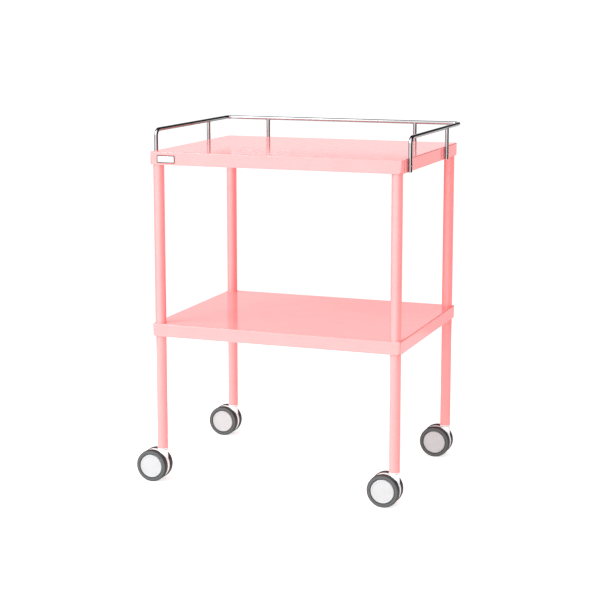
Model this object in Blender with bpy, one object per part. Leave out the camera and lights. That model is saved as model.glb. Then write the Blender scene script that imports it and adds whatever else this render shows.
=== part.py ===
"""Two-tier service trolley: folded steel trays on tube legs, a chrome guard rail and twin-wheel casters.

The front faces -Y, the left side -X, and the floor is at Z = 0. The driving dimensions below are in
millimetres; every mesh is built in metres.
"""
import math

import bmesh
import bpy
from mathutils import Matrix, Vector

MM = 0.001

# ---- trays ----------------------------------------------------------------------------------
TRAY_WIDTH = 600.0
TRAY_DEPTH = 460.0
UPPER_TOP = 780.0
LOWER_TOP = 380.0
APRON_HEIGHT = 30.0
SHEET = 1.0
EDGE_BEND = 2.0
CORNER_RADIUS = 3.0
CORNER_CUT = 7.0
CORNER_CUT_HEIGHT = 6.0

# ---- legs -----------------------------------------------------------------------------------
TUBE_RADIUS = 12.5
TUBE_WALL = 1.2
LEG_INSET = 15.0
LEG_BOTTOM = 80.0
GAP = 0.3

# ---- guard rail -----------------------------------------------------------------------------
ROD_RADIUS = 4.5
RAIL_HEIGHT = 826.0
RAIL_BEND = 15.0
RAIL_FRONT_Y = -185.0
SIDE_POST_Y = 117.0
BACK_POST_X = 192.0
SCREW_HEIGHT = 765.0
SCREW_RADIUS = 1.7
SCREW_HOLE_RADIUS = 2.15
SCREW_HEAD_RADIUS = 3.2
SCREW_HEAD_HEIGHT = 1.6
SPOT_FACE_DEPTH = 1.7
NUT_ACROSS_FLATS = 7.0
NUT_HEIGHT = 3.2

# ---- name plate -----------------------------------------------------------------------------
PLATE_WIDTH = 45.0
PLATE_HEIGHT = 18.6
PLATE_THICKNESS = 0.8
PLATE_LEFT = 17.3
PLATE_MIDDLE_Z = 763.3
PLATE_CORNER = 2.5

# ---- casters --------------------------------------------------------------------------------
WHEEL_RADIUS = 37.5
WHEEL_SEGMENTS = 32
CASTER_TRAIL = 21.6
TYRE_INNER_FACE = 6.2
TYRE_OUTER_FACE = 22.0
HUB_RADIUS = 27.0
HUB_OUTER_FACE = 19.6
CAP_CROWN = 22.6
AXLE_RADIUS = 3.9
AXLE_HALF_LENGTH = 19.3
WEB_HALF_THICKNESS = 5.5
HOOD_RADIUS = 36.3
NECK_RADIUS = 12.0
NECK_TOP = 76.4
NECK_BOTTOM = 50.0
WHEEL_CLEARANCE = 0.9
STEM_RADIUS = 5.5
FLANGE_RADIUS = 10.0
FLANGE_THICKNESS = 0.8
STEM_LOWER_RADIUS = 4.0
STEM_BOTTOM = 64.3
STEM_TOP = 118.0
SOCKET_TOP = 124.0
COLLAR_THICKNESS = 1.9

LEG_X = TRAY_WIDTH / 2 - LEG_INSET
LEG_Y = TRAY_DEPTH / 2 - LEG_INSET
RAIL_X = TRAY_WIDTH / 2 + GAP + ROD_RADIUS
RAIL_Y = TRAY_DEPTH / 2 + GAP + ROD_RADIUS
APRON_BOTTOM = UPPER_TOP - APRON_HEIGHT
SCREW_HEAD_BASE = ROD_RADIUS - SPOT_FACE_DEPTH + GAP
SCREW_REACH = SCREW_HEAD_BASE + SCREW_HEAD_HEIGHT

# The origin is the middle of the whole footprint: the wheels trail to the left, and the rail and its
# screws stand outside the trays.
LOWEST_X = -LEG_X - CASTER_TRAIL - WHEEL_RADIUS
HIGHEST_X = RAIL_X + SCREW_REACH
LOWEST_Y = -LEG_Y - CAP_CROWN
HIGHEST_Y = RAIL_Y + SCREW_REACH
CENTRE_X = (LOWEST_X + HIGHEST_X) / 2
CENTRE_Y = (LOWEST_Y + HIGHEST_Y) / 2

CORNERS = {
    "front_left": (-1, -1),
    "front_right": (1, -1),
    "back_left": (-1, 1),
    "back_right": (1, 1),
}

COLOURS = {  # base colour, metallic, roughness
    "pink_paint": ((0.93, 0.42, 0.43), 0.0, 0.28),
    "chrome": ((0.80, 0.81, 0.82), 1.0, 0.08),
    "steel": ((0.60, 0.60, 0.61), 1.0, 0.32),
    "plate_white": ((0.88, 0.88, 0.88), 0.0, 0.35),
    "white_plastic": ((0.82, 0.82, 0.83), 0.0, 0.40),
    "cap_plastic": ((0.76, 0.76, 0.78), 0.0, 0.38),
    "grey_tyre": ((0.10, 0.11, 0.11), 0.0, 0.60),
}


# ---- scene helpers ---------------------------------------------------------------------------
def clear_scene():
    for old in list(bpy.data.objects):
        bpy.data.objects.remove(old, do_unlink=True)


def material(name):
    found = bpy.data.materials.get(name)
    if found:
        return found
    made = bpy.data.materials.new(name)
    made.use_nodes = True
    colour, metallic, roughness = COLOURS[name]
    shader = made.node_tree.nodes["Principled BSDF"]
    shader.inputs["Base Color"].default_value = (*colour, 1.0)
    shader.inputs["Metallic"].default_value = metallic
    shader.inputs["Roughness"].default_value = roughness
    made.diffuse_color = (*colour, 1.0)
    return made


def empty(name, parent, place):
    """A pivot; place is in millimetres under its parent."""
    made = bpy.data.objects.new(name, None)
    bpy.context.collection.objects.link(made)
    made.parent = parent
    made.location = Vector(place) * MM
    return made


def add_object(name, mesh_data, finish, parent, place=(0, 0, 0), turn=(0, 0, 0)):
    made = bpy.data.objects.new(name, mesh_data)
    bpy.context.collection.objects.link(made)
    if finish:
        if not mesh_data.materials:
            mesh_data.materials.append(material(finish))
        mesh_data.shade_smooth()
        mesh_data.set_sharp_from_angle(angle=math.radians(35))
    made.parent = parent
    made.location = Vector(place) * MM
    made.rotation_euler = turn
    return made


def mesh_from(name, bm):
    """Turns a bmesh built in millimetres into a mesh in metres with its faces outward."""
    bmesh.ops.recalc_face_normals(bm, faces=bm.faces)
    bmesh.ops.scale(bm, vec=(MM, MM, MM), verts=bm.verts)
    made = bpy.data.meshes.new(name)
    bm.to_mesh(made)
    bm.free()
    return made


def cutter(name, mesh_data, parent, place=(0, 0, 0), turn=(0, 0, 0)):
    made = add_object(name, mesh_data, None, parent, place, turn)
    made.hide_render = True
    made.display_type = "WIRE"
    return made


def boolean(target, tool, operation="DIFFERENCE"):
    step = target.modifiers.new(tool.name, "BOOLEAN")
    step.operation = operation
    step.object = tool


# ---- shapes ----------------------------------------------------------------------------------
def add_rings(bm, rings, closed):
    """Joins rings of equal length with quads; closed joins the last ring to the first."""
    made = [[bm.verts.new(point) for point in ring] for ring in rings]
    pairs = list(zip(made, made[1:]))
    if closed:
        pairs.append((made[-1], made[0]))
    for lower, upper in pairs:
        count = len(lower)
        for i in range(count):
            j = (i + 1) % count
            bm.faces.new((lower[i], lower[j], upper[j], upper[i]))
    return made


def circle(radius, height, segments, phase=0.0):
    step = 2 * math.pi / segments
    return [
        (radius * math.cos(phase + i * step), radius * math.sin(phase + i * step), height)
        for i in range(segments)
    ]


def add_turned(bm, profile, segments, phase=0.0):
    """Turns (radius, height) points about Z. A profile that starts and ends at radius 0 is a solid."""
    solid = profile[0][0] == 0
    ring_points = profile[1:-1] if solid else profile
    rings = add_rings(bm, [circle(r, h, segments, phase) for r, h in ring_points], not solid)
    if solid:
        bm.faces.new(rings[0])
        bm.faces.new(rings[-1])


def turned(name, profile, segments, phase=0.0):
    bm = bmesh.new()
    add_turned(bm, profile, segments, phase)
    return mesh_from(name, bm)


def cylinder(name, radius, low, high, segments):
    return turned(name, [(0, low), (radius, low), (radius, high), (0, high)], segments)


def rounded_rectangle(half_x, half_y, radius, height, steps=3):
    """A counter-clockwise outline with arcs at its corners."""
    points = []
    for quarter, (sx, sy) in enumerate(((1, 1), (-1, 1), (-1, -1), (1, -1))):
        for i in range(steps + 1):
            angle = math.radians(90) * (quarter + i / steps)
            x = sx * (half_x - radius) + radius * math.cos(angle)
            y = sy * (half_y - radius) + radius * math.sin(angle)
            points.append((x, y, height))
    return points


def swept_rod(name, path, radius, sides):
    """A round rod with flat ends along a smooth path of points."""
    rings = []
    side = None
    for i, point in enumerate(path):
        ahead = path[min(i + 1, len(path) - 1)]
        behind = path[max(i - 1, 0)]
        along = (ahead - behind).normalized()
        if side is None:
            side = along.orthogonal().normalized()
        side = (side - along * side.dot(along)).normalized()
        other = along.cross(side)
        ring = []
        for k in range(sides):
            angle = 2 * math.pi * k / sides
            ring.append(point + (side * math.cos(angle) + other * math.sin(angle)) * radius)
        rings.append(ring)
    bm = bmesh.new()
    made = add_rings(bm, rings, False)
    bm.faces.new(made[0])
    bm.faces.new(made[-1])
    return mesh_from(name, bm)


def bend_points(corner, before, after, radius, steps=5):
    """Points on the arc that rounds a right-angled corner between two directions."""
    centre = corner - before * radius + after * radius
    points = []
    for i in range(steps + 1):
        angle = math.radians(90) * i / steps
        points.append(centre + before * radius * math.sin(angle) - after * radius * math.cos(angle))
    return points


# ---- trays -----------------------------------------------------------------------------------
def tray_mesh(name, top):
    """A folded tray: outer skin up the apron, round the bend and over, then the inner skin back down."""
    bottom = top - APRON_HEIGHT
    inner_bend = EDGE_BEND - SHEET
    half_x = TRAY_WIDTH / 2
    half_y = TRAY_DEPTH / 2
    steps = 3
    outer = [(0.0, bottom)]
    inner = [(SHEET, bottom)]
    for i in range(steps + 1):
        angle = math.radians(90) * i / steps
        rise = math.sin(angle)
        run = 1 - math.cos(angle)
        outer.append((EDGE_BEND * run, top - EDGE_BEND + EDGE_BEND * rise))
        inner.append((SHEET + inner_bend * run, top - EDGE_BEND + inner_bend * rise))
    bm = bmesh.new()
    rings = []
    for inset, height in outer[::-1] + inner:
        radius = max(CORNER_RADIUS - inset, 0.5)
        rings.append(rounded_rectangle(half_x - inset, half_y - inset, radius, height))
    made = add_rings(bm, rings, False)
    bm.faces.new(made[0])
    bm.faces.new(made[-1])
    return mesh_from(name, bm)


def corner_cutter_mesh(name, bottom):
    """Four wedges that take the sharp lower tips off the apron's corners."""
    bm = bmesh.new()
    reach = 4.0
    for sx, sy in CORNERS.values():
        tip = Vector((sx * TRAY_WIDTH / 2, sy * TRAY_DEPTH / 2, bottom))
        along_x = tip + Vector((-sx * CORNER_CUT, 0, 0))
        along_y = tip + Vector((0, -sy * CORNER_CUT, 0))
        up = tip + Vector((0, 0, CORNER_CUT_HEIGHT))
        outward = (along_x - up).cross(along_y - up).normalized()
        if outward.dot(tip - up) < 0:
            outward = -outward
        middle = (along_x + along_y + up) / 3
        wide = [middle + (corner - middle) * 3 for corner in (along_x, along_y, up)]
        face = [bm.verts.new(point) for point in wide]
        back = [bm.verts.new(point + outward * 3 * reach) for point in wide]
        bm.faces.new(face)
        bm.faces.new(back)
        for i in range(3):
            j = (i + 1) % 3
            bm.faces.new((face[i], face[j], back[j], back[i]))
    return mesh_from(name, bm)


def leg_hole_mesh(name, top):
    bm = bmesh.new()
    for sx, sy in CORNERS.values():
        low, high = top - 3 * SHEET, top + 3 * SHEET
        radius = TUBE_RADIUS + GAP
        start = len(bm.verts)
        add_turned(bm, [(0, low), (radius, low), (radius, high), (0, high)], 20)
        bm.verts.ensure_lookup_table()
        bmesh.ops.translate(bm, verts=bm.verts[start:], vec=(sx * LEG_X, sy * LEG_Y, 0))
    return mesh_from(name, bm)


def build_trays(root):
    for name, top in (("upper_tray", UPPER_TOP), ("lower_tray", LOWER_TOP)):
        tray = add_object(name, tray_mesh(name, top), "pink_paint", root)
        wedges = corner_cutter_mesh(name + "_corner_cut", top - APRON_HEIGHT)
        boolean(tray, cutter(name + "_corner_cut", wedges, root))
        if name == "upper_tray":
            boolean(tray, cutter("apron_screw_holes", screw_hole_mesh("apron_screw_holes"), root))
        else:
            boolean(tray, cutter("leg_holes", leg_hole_mesh("leg_holes", top), root))


# ---- legs ------------------------------------------------------------------------------------
def build_legs(root):
    top = UPPER_TOP - SHEET - GAP
    bore = TUBE_RADIUS - TUBE_WALL
    profile = [(TUBE_RADIUS, LEG_BOTTOM), (TUBE_RADIUS, top), (bore, top), (bore, LEG_BOTTOM)]
    shape = turned("leg", profile, 20)
    for corner, (sx, sy) in CORNERS.items():
        add_object("leg_" + corner, shape, "pink_paint", root, (sx * LEG_X, sy * LEG_Y, 0))


# ---- guard rail ------------------------------------------------------------------------------
def rail_ends():
    """Where each rod end stands and which way is outward: the two bent ends, then the four posts."""
    return {
        "left_front": (Vector((-RAIL_X, RAIL_FRONT_Y, 0)), Vector((-1, 0, 0))),
        "right_front": (Vector((RAIL_X, RAIL_FRONT_Y, 0)), Vector((1, 0, 0))),
        "left": (Vector((-RAIL_X, SIDE_POST_Y, 0)), Vector((-1, 0, 0))),
        "right": (Vector((RAIL_X, SIDE_POST_Y, 0)), Vector((1, 0, 0))),
        "back_left": (Vector((-BACK_POST_X, RAIL_Y, 0)), Vector((0, 1, 0))),
        "back_right": (Vector((BACK_POST_X, RAIL_Y, 0)), Vector((0, 1, 0))),
    }


def outward_frame(place, outward):
    """Maps local +Z onto the outward direction at the screw's height."""
    turn = Vector((0, 0, 1)).rotation_difference(outward).to_matrix().to_4x4()
    spot = Vector((place.x, place.y, SCREW_HEIGHT))
    return Matrix.Translation(spot) @ turn


def add_at_rail_ends(bm, profile, segments, phase=0.0):
    for place, outward in rail_ends().values():
        start = len(bm.verts)
        add_turned(bm, profile, segments, phase)
        bm.verts.ensure_lookup_table()
        bmesh.ops.transform(bm, matrix=outward_frame(place, outward), verts=bm.verts[start:])


def screw_hole_mesh(name):
    """Holes through the aprons, from just inside the rod's axis."""
    bm = bmesh.new()
    low = -ROD_RADIUS - GAP - 3 * SHEET
    high = -ROD_RADIUS - GAP + 2 * SHEET
    profile = [(0, low), (SCREW_HOLE_RADIUS, low), (SCREW_HOLE_RADIUS, high), (0, high)]
    add_at_rail_ends(bm, profile, 10)
    return mesh_from(name, bm)


def rod_hole_mesh(name):
    """A through hole with a spot face for the screw's head, along +Z."""
    face = ROD_RADIUS - SPOT_FACE_DEPTH
    far = 2 * ROD_RADIUS
    spot = SCREW_HEAD_RADIUS + GAP
    hole = SCREW_HOLE_RADIUS
    profile = [(0, -far), (hole, -far), (hole, face), (spot, face), (spot, far), (0, far)]
    return turned(name, profile, 10)


def drill_rod(rod, end, root):
    place, outward = rail_ends()[end]
    turn = Vector((0, 0, 1)).rotation_difference(outward).to_euler()
    name = "drill_" + end
    spot = (place.x, place.y, SCREW_HEIGHT)
    boolean(rod, cutter(name, rod_hole_mesh(name), root, spot, turn))


def rail_path():
    """Up from the left front end, round the back and down again at the right front end."""
    up, back, right = Vector((0, 0, 1)), Vector((0, 1, 0)), Vector((1, 0, 0))
    left_front = Vector((-RAIL_X, RAIL_FRONT_Y, RAIL_HEIGHT))
    left_back = Vector((-RAIL_X, RAIL_Y, RAIL_HEIGHT))
    right_back = Vector((RAIL_X, RAIL_Y, RAIL_HEIGHT))
    right_front = Vector((RAIL_X, RAIL_FRONT_Y, RAIL_HEIGHT))
    path = [Vector((left_front.x, left_front.y, APRON_BOTTOM))]
    path += bend_points(left_front, up, back, RAIL_BEND)
    path += bend_points(left_back, back, right, RAIL_BEND)
    path += bend_points(right_back, right, -back, RAIL_BEND)
    path += bend_points(right_front, -back, -up, RAIL_BEND)
    path.append(Vector((right_front.x, right_front.y, APRON_BOTTOM)))
    return path


def build_guard_rail(root):
    rail = add_object("guard_rail", swept_rod("guard_rail", rail_path(), ROD_RADIUS, 12), "chrome", root)
    drill_rod(rail, "left_front", root)
    drill_rod(rail, "right_front", root)

    top = RAIL_HEIGHT - 3.0
    for end in ("left", "right", "back_left", "back_right"):
        place, outward = rail_ends()[end]
        name = "guard_post_" + end
        shape = cylinder(name, ROD_RADIUS, APRON_BOTTOM, top, 12)
        post = add_object(name, shape, "chrome", root, (place.x, place.y, 0))
        drill_rod(post, end, root)
        saddle = cylinder("saddle_" + end, ROD_RADIUS + GAP, -12, 12, 16)
        along = Vector((-outward.y, outward.x, 0))
        turn = Vector((0, 0, 1)).rotation_difference(along).to_euler()
        spot = (place.x, place.y, RAIL_HEIGHT)
        boolean(post, cutter("saddle_" + end, saddle, root, spot, turn))


def hexagon(across_flats, height):
    """Twelve points round a hexagon: its corners and the middles of its sides."""
    points = []
    for i in range(12):
        reach = across_flats / 2 / (math.cos(math.radians(30)) if i % 2 == 0 else 1.0)
        angle = 2 * math.pi * i / 12
        points.append((reach * math.cos(angle), reach * math.sin(angle), height))
    return points


def fastener_mesh():
    """A button-head screw along +Z with its nut behind the apron, joined as they are when tight."""
    nut_face = -ROD_RADIUS - GAP - SHEET - GAP
    nut_back = nut_face - NUT_HEIGHT
    rings = [
        circle(SCREW_RADIUS, nut_back - 1.0, 12),
        circle(SCREW_RADIUS, nut_back, 12),
        hexagon(NUT_ACROSS_FLATS, nut_back),
        hexagon(NUT_ACROSS_FLATS, nut_face),
        circle(SCREW_RADIUS, nut_face, 12),
        circle(SCREW_RADIUS, SCREW_HEAD_BASE, 12),
        circle(SCREW_HEAD_RADIUS, SCREW_HEAD_BASE, 12),
        circle(SCREW_HEAD_RADIUS * 0.8, SCREW_REACH, 12),
    ]
    bm = bmesh.new()
    made = add_rings(bm, rings, False)
    bm.faces.new(made[0])
    bm.faces.new(made[-1])
    return mesh_from("guard_rail_screw", bm)


def build_rail_fasteners(root):
    shape = fastener_mesh()
    for end, (place, outward) in rail_ends().items():
        turn = Vector((0, 0, 1)).rotation_difference(outward).to_euler()
        spot = (place.x, place.y, SCREW_HEIGHT)
        add_object("guard_rail_screw_" + end, shape, "steel", root, spot, turn)


# ---- name plate ------------------------------------------------------------------------------
def build_name_plate(root):
    half_x, half_z = PLATE_WIDTH / 2, PLATE_HEIGHT / 2
    back = -TRAY_DEPTH / 2 - GAP
    front = back - PLATE_THICKNESS
    middle_x = -TRAY_WIDTH / 2 + PLATE_LEFT + half_x
    bm = bmesh.new()
    outline = rounded_rectangle(half_x, half_z, PLATE_CORNER, 0, 4)
    rings = [[(x + middle_x, y, z + PLATE_MIDDLE_Z) for x, z, _ in outline] for y in (back, front)]
    made = add_rings(bm, rings, False)
    bm.faces.new(made[0])
    bm.faces.new(made[-1])
    add_object("name_plate", mesh_from("name_plate", bm), "plate_white", root)


# ---- casters ---------------------------------------------------------------------------------
def socket_mesh():
    """The insert in the leg: a collar under the tube's end and a sleeve inside the tube."""
    collar_top = LEG_BOTTOM - GAP
    collar_bottom = collar_top - COLLAR_THICKNESS
    sleeve = TUBE_RADIUS - TUBE_WALL - 0.4
    bore = STEM_RADIUS + GAP
    profile = [
        (bore, collar_bottom),
        (TUBE_RADIUS, collar_bottom),
        (TUBE_RADIUS, collar_top),
        (sleeve, collar_top),
        (sleeve, SOCKET_TOP),
        (bore, SOCKET_TOP),
    ]
    return turned("caster_socket", profile, 16)


def stem_mesh():
    """The steel stem: thick in the socket, a flange over the neck, thinner where the housing turns on it."""
    flange = NECK_TOP + GAP
    shoulder = flange + FLANGE_THICKNESS
    profile = [
        (0, STEM_BOTTOM),
        (STEM_LOWER_RADIUS, STEM_BOTTOM),
        (STEM_LOWER_RADIUS, flange),
        (FLANGE_RADIUS, flange),
        (FLANGE_RADIUS, shoulder),
        (STEM_RADIUS, shoulder),
        (STEM_RADIUS, STEM_TOP - 3),
        (STEM_RADIUS - 1.5, STEM_TOP),
        (0, STEM_TOP),
    ]
    return turned("caster_stem", profile, 12)


def hood_web_mesh():
    """The web between the wheels: a disc about the axle with a flat cut across its open underside."""
    start, sweep, steps = math.radians(-45), math.radians(270), 18
    outline = []
    for i in range(steps + 1):
        angle = start + sweep * i / steps
        outline.append((HOOD_RADIUS * math.cos(angle), HOOD_RADIUS * math.sin(angle)))
    bm = bmesh.new()
    rings = [
        [(x - CASTER_TRAIL, y, z + WHEEL_RADIUS) for x, z in outline]
        for y in (-WEB_HALF_THICKNESS, WEB_HALF_THICKNESS)
    ]
    made = add_rings(bm, rings, False)
    bm.faces.new(made[0])
    bm.faces.new(made[-1])
    return mesh_from("hood_web", bm)


def housing_cut_mesh():
    """Room for both wheels, the axle's bore through the web and the stem's bore down the neck."""
    bm = bmesh.new()
    clear = WHEEL_RADIUS + WHEEL_CLEARANCE
    near = WEB_HALF_THICKNESS
    bore = AXLE_RADIUS + GAP
    profile = [(0, -30), (clear, -30), (clear, -near), (bore, -near)]
    profile += [(bore, near), (clear, near), (clear, 30), (0, 30)]
    add_turned(bm, profile, 32, math.pi / 32)
    lay_down = Matrix.Translation((-CASTER_TRAIL, 0, WHEEL_RADIUS)) @ Matrix.Rotation(math.pi / 2, 4, "X")
    bmesh.ops.transform(bm, matrix=lay_down, verts=bm.verts[:])
    start = len(bm.verts)
    low, high = STEM_BOTTOM - GAP, NECK_TOP + 5
    radius = STEM_LOWER_RADIUS + GAP
    add_turned(bm, [(0, low), (radius, low), (radius, high), (0, high)], 12)
    return mesh_from("housing_cut", bm)


def build_housing(corner, swivel):
    name = "caster_housing_" + corner
    neck = cylinder(name, NECK_RADIUS, NECK_BOTTOM, NECK_TOP, 20)
    housing = add_object(name, neck, "white_plastic", swivel)
    web = cutter("hood_web_" + corner, hood_web_mesh(), swivel)
    boolean(housing, web, "UNION")
    boolean(housing, cutter("housing_cut_" + corner, housing_cut_mesh(), swivel))


def tyre_mesh():
    """A soft tread ring with round shoulders; a flat of its tread rests on the floor."""
    tread = WHEEL_RADIUS / math.cos(math.pi / WHEEL_SEGMENTS)
    inner, outer = TYRE_INNER_FACE, TYRE_OUTER_FACE
    seat = HUB_RADIUS + GAP
    profile = [
        (seat, inner),
        (tread - 2.4, inner),
        (tread, inner + 2.8),
        (tread, outer - 4.8),
        (tread - 4.0, outer - 0.4),
        (seat, outer),
    ]
    return turned("tyre", profile, WHEEL_SEGMENTS, math.pi / WHEEL_SEGMENTS)


def hub_mesh():
    """A plastic hub: a boss on the axle, a web, and the rim under the tyre."""
    bore = AXLE_RADIUS + 0.4
    inner = TYRE_INNER_FACE + 0.4
    profile = [
        (bore, inner),
        (HUB_RADIUS, inner),
        (HUB_RADIUS, HUB_OUTER_FACE),
        (HUB_RADIUS - 3, HUB_OUTER_FACE),
        (HUB_RADIUS - 4, inner + 4),
        (bore + 3.5, inner + 4),
        (bore + 3.0, HUB_OUTER_FACE),
        (bore, HUB_OUTER_FACE),
    ]
    return turned("hub", profile, 16)


def cap_mesh():
    """The slightly crowned disc that closes the hub."""
    base = HUB_OUTER_FACE + GAP
    profile = [
        (0, base),
        (HUB_RADIUS, base),
        (HUB_RADIUS, base + 1.2),
        (HUB_RADIUS - 2, CAP_CROWN),
        (0, CAP_CROWN),
    ]
    return turned("hub_cap", profile, 20)


def build_wheels(corner, swivel, shapes):
    """The outer wheel faces away from the trolley's middle along Y, the inner wheel towards it."""
    outer_way = CORNERS[corner][1]
    for which, way in (("outer", outer_way), ("inner", -outer_way)):
        pivot = empty("wheel_%s_%s" % (corner, which), swivel, (-CASTER_TRAIL, 0, WHEEL_RADIUS))
        lie = (-way * math.pi / 2, 0, 0)
        for piece, finish in (("tyre", "grey_tyre"), ("hub", "white_plastic"), ("hub_cap", "cap_plastic")):
            name = "%s_%s_%s" % (piece, corner, which)
            add_object(name, shapes[piece], finish, pivot, (0, 0, 0), lie)


def build_casters(root):
    shapes = {"tyre": tyre_mesh(), "hub": hub_mesh(), "hub_cap": cap_mesh()}
    socket, stem = socket_mesh(), stem_mesh()
    axle = cylinder("axle", AXLE_RADIUS, -AXLE_HALF_LENGTH, AXLE_HALF_LENGTH, 12)
    for corner, (sx, sy) in CORNERS.items():
        swivel = empty("caster_" + corner, root, (sx * LEG_X, sy * LEG_Y, 0))
        add_object("caster_socket_" + corner, socket, "white_plastic", swivel)
        add_object("caster_stem_" + corner, stem, "steel", swivel)
        build_housing(corner, swivel)
        middle = (-CASTER_TRAIL, 0, WHEEL_RADIUS)
        add_object("axle_" + corner, axle, "steel", swivel, middle, (math.pi / 2, 0, 0))
        build_wheels(corner, swivel, shapes)


def main():
    clear_scene()
    root = empty("trolley", None, (-CENTRE_X, -CENTRE_Y, 0))
    build_trays(root)
    build_legs(root)
    build_guard_rail(root)
    build_rail_fasteners(root)
    build_name_plate(root)
    build_casters(root)
    bpy.context.view_layer.update()


main()
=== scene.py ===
"""Looks of the two-tier service trolley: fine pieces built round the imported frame, their materials, the
studio lights and the camera.

Every piece of the trolley is built in millimetres, in the frame's own axes (front -Y, left -X, floor at
Z = 0), and is scaled to metres as it becomes a mesh. The main sizes and places come from the frame's
nodes, and the finer ones are named below. The studio round it is in metres.
"""
import math

import bmesh
import bpy
from mathutils import Matrix, Vector


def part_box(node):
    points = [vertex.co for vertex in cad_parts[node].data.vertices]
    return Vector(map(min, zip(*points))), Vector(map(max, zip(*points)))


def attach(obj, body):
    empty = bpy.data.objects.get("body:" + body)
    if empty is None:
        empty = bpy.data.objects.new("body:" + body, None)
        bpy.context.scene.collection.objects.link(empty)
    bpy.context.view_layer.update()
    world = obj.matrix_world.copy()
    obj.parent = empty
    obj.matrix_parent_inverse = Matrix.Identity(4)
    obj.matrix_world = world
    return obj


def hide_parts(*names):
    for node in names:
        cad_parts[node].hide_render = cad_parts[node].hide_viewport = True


MM = 0.001

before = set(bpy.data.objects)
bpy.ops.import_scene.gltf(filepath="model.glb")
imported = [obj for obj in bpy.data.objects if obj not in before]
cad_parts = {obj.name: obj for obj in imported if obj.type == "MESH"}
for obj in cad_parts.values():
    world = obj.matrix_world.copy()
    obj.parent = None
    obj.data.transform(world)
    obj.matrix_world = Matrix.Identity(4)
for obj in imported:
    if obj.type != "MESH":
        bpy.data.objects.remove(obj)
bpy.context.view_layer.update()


# ---- measures read from the frame --------------------------------------------------------------
def box_mm(node):
    low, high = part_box(node)
    return low / MM, high / MM


def middle_mm(node):
    low, high = box_mm(node)
    return (low + high) / 2


def size_mm(node):
    low, high = box_mm(node)
    return high - low


def leg_place(corner):
    return middle_mm("leg_" + corner)


def leg_axis(corner):
    """A frame in metres on the leg's axis, at floor height."""
    place = leg_place(corner)
    return Matrix.Translation((place.x * MM, place.y * MM, 0))


# Each corner, with the way along Y that its outer wheel faces.
CORNERS = {
    "front_left": -1,
    "front_right": -1,
    "back_left": 1,
    "back_right": 1,
}
TRAY_MIDDLE = middle_mm("upper_tray")
TRAY_SIZE = size_mm("upper_tray")
UPPER_TOP = box_mm("upper_tray")[1].z
LOWER_TOP = box_mm("lower_tray")[1].z
APRON_BOTTOM = box_mm("upper_tray")[0].z
TUBE_RADIUS = size_mm("leg_front_left").x / 2
LEG_BOTTOM = box_mm("leg_front_left")[0].z
LEG_TOP = box_mm("leg_front_left")[1].z
ROD_RADIUS = size_mm("guard_post_left").x / 2
RAIL_LEFT_X = middle_mm("guard_post_left").x
RAIL_RIGHT_X = middle_mm("guard_post_right").x
RAIL_BACK_Y = middle_mm("guard_post_back_left").y
RAIL_FRONT_Y = middle_mm("guard_rail_screw_left_front").y
SCREW_HEIGHT = middle_mm("guard_rail_screw_left").z
# The frame's posts end this far below the rail's axis.
POST_SHORTFALL = 3.0
RAIL_HEIGHT = box_mm("guard_post_left")[1].z + POST_SHORTFALL
WHEEL_RADIUS = size_mm("tyre_front_left_outer").z / 2
TYRE_WIDTH = size_mm("tyre_front_left_outer").y
HUB_RADIUS = size_mm("hub_front_left_outer").x / 2
AXLE_RADIUS = size_mm("axle_front_left").x / 2
AXLE_LENGTH = size_mm("axle_front_left").y
CASTER_TRAIL = leg_place("front_left").x - middle_mm("axle_front_left").x
NECK_TOP = box_mm("caster_housing_front_left")[1].z

# ---- finer measures of the real pieces, in millimetres ------------------------------------------
# trays and legs
SHEET = 1.0
EDGE_BEND = 2.0
BEND_SUPPORT = 2.0
TRAY_CORNER = 4.0
TRAY_CORNER_LEAST = 0.6
CORNER_CUT = 7.0
CORNER_CUT_HEIGHT = 6.0
LIP = 0.25
TUBE_WALL = 1.2
TUBE_END_ROUND = 0.3
HOLE_CLEARANCE = 0.3

# guard rail and its screws
RAIL_BEND = 15.0
ROD_CHAMFER = 0.5
POST_END_BELOW_AXIS = 1.0
SPOT_FACE_DEPTH = 1.7
SCREW_RADIUS = 1.7
SCREW_HOLE_RADIUS = 2.15
SCREW_HEAD_RADIUS = 3.2
SCREW_HEAD_HEIGHT = 1.6
SCREW_PAST_NUT = 1.6
THREADS = 7
THREAD_PITCH = 0.7
THREAD_DEPTH = 0.28
KEY_ACROSS_FLATS = 2.5
KEY_DEPTH = 1.1
NUT_ACROSS_FLATS = 7.0
NUT_HEIGHT = 3.2

# name plate
PLATE_CORNER = 3.0
PLATE_CORNER_LEAST = 0.4
PLATE_BORDER = 2.7
PLATE_RECESS = 0.15

# welds: a bead's thickness is given as its radius
WELD_RIPPLE_POINTS = 6
LEG_WELD_RIPPLES = 20
LEG_WELD_OFF_TUBE = 0.25
LEG_WELD_OFF_SHEET = 0.1
LEG_WELD_BELOW_UPPER_SHEET = 0.4
LEG_WELD_THIN = 0.7
LEG_WELD_THICK = 0.9
POST_WELD_RIPPLES = 12
POST_WELD_THICK = 0.75

# casters: faces are measured along the axle from the middle of the web between the wheels
WEB_HALF = 5.5
WEB_EDGE_ROUND = 1.4
WEB_RADIUS = 36.3
TREAD_ROOM = 0.9
NECK_RADIUS = 12
NECK_BOTTOM = 50
STEM_RADIUS = 4.0
STEM_ROOM_BOTTOM = 64.0
SHANK_RADIUS = 5.5
FLANGE_RADIUS = 10.0
FLANGE_THICKNESS = 0.8
TYRE_INNER_FACE = 6.2
HUB_INNER_FACE = 6.6
HUB_OUTER_FACE = 19.6
CAP_BACK = 19.9
AXLE_PLAY = 0.4
SLEEVE_PLAY = 0.4

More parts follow.
